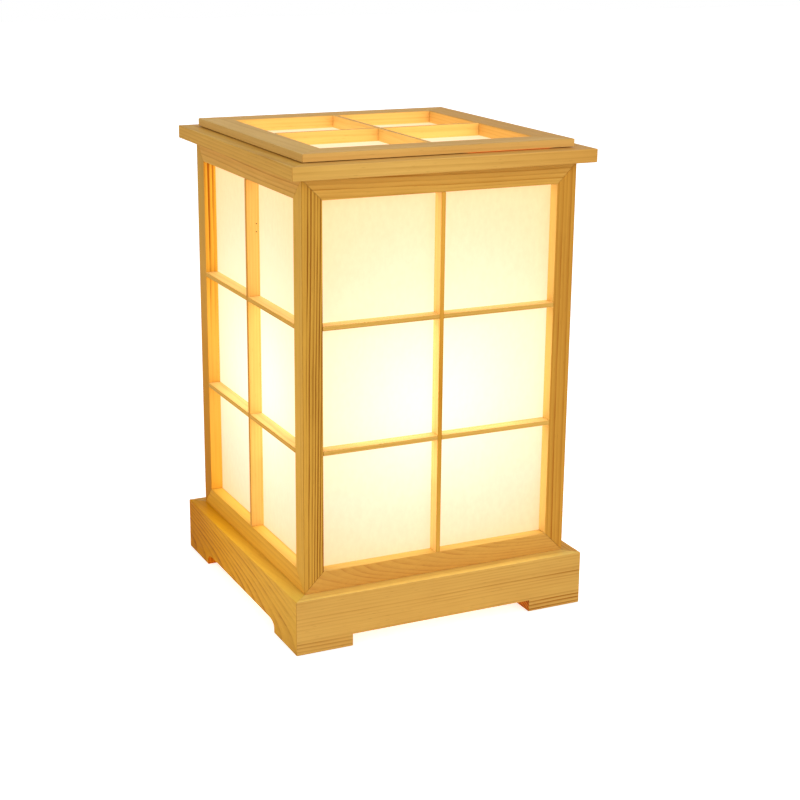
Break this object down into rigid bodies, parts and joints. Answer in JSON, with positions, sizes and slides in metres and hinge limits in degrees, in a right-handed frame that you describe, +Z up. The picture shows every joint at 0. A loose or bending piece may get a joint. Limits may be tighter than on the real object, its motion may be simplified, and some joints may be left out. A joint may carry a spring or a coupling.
{
  "type": "table lamp",
  "caption": "Square wooden table lamp with paper screens behind a lattice, a notched base, an overhanging cap and a lift-off lattice lid over the bulb.",
  "frame": {"origin": "on the table, under the middle of the lamp", "axes": "+Z up, front face towards -Y, +X to the right of someone facing the front, cord inlet at +Y"},
  "size_m": [0.216, 0.216, 0.328],
  "materials": {
    "pine": "satin",
    "pine_bar": "satin",
    "plywood": "matte",
    "paper": "matte",
    "black_rubber": "matte",
    "porcelain": "gloss",
    "brass": "satin",
    "frosted_glass": "frosted",
    "cap_metal": "satin",
    "black_glass": "gloss"
  },
  "bodies": {
    "lamp": {"base_board_front": "pine", "base_board_right": "pine", "base_board_rear": "pine", "base_board_left": "pine", "base_floor_panel": "plywood", "cord_bush": "black_rubber", "front_stile_left": "pine", "front_stile_right": "pine", "front_rail_bottom": "pine", "front_rail_top": "pine", "front_bar_upright": "pine_bar", "front_crossbar_1": "pine_bar", "front_crossbar_2": "pine_bar", "front_paper": "paper", "right_stile_left": "pine", "right_stile_right": "pine", "right_rail_bottom": "pine", "right_rail_top": "pine", "right_bar_upright": "pine_bar", "right_crossbar_1": "pine_bar", "right_crossbar_2": "pine_bar", "right_paper": "paper", "rear_stile_left": "pine", "rear_stile_right": "pine", "rear_rail_bottom": "pine", "rear_rail_top": "pine", "rear_bar_upright": "pine_bar", "rear_crossbar_1": "pine_bar", "rear_crossbar_2": "pine_bar", "rear_paper": "paper", "left_stile_left": "pine", "left_stile_right": "pine", "left_rail_bottom": "pine", "left_rail_top": "pine", "left_bar_upright": "pine_bar", "left_crossbar_1": "pine_bar", "left_crossbar_2": "pine_bar", "left_paper": "paper", "cap_board_front": "pine", "cap_board_right": "pine", "cap_board_rear": "pine", "cap_board_left": "pine", "lampholder_body": "porcelain", "lampholder_shell": "brass", "lampholder_tongue": "brass"},
    "lid": {"lid_rail_front": "pine", "lid_rail_right": "pine", "lid_rail_rear": "pine", "lid_rail_left": "pine", "lid_bar_across": "pine_bar", "lid_bar_deep": "pine_bar", "lid_paper": "paper"},
    "bulb": {"bulb_globe": "frosted_glass", "bulb_cap": "cap_metal", "bulb_insulator": "black_glass", "bulb_contact": "brass"}
  },
  "joints": [
    {"name": "lid_lift", "type": "slide", "parent": "lamp", "child": "lid", "axis": [0, 0, 1], "range_m": [0, 0.15]},
    {"name": "bulb_turn", "type": "hinge", "parent": "lamp", "child": "bulb", "pos_m": [0, 0, 0.0721], "axis": [0, 0, 1], "range_deg": [0, 900]}
  ]
}
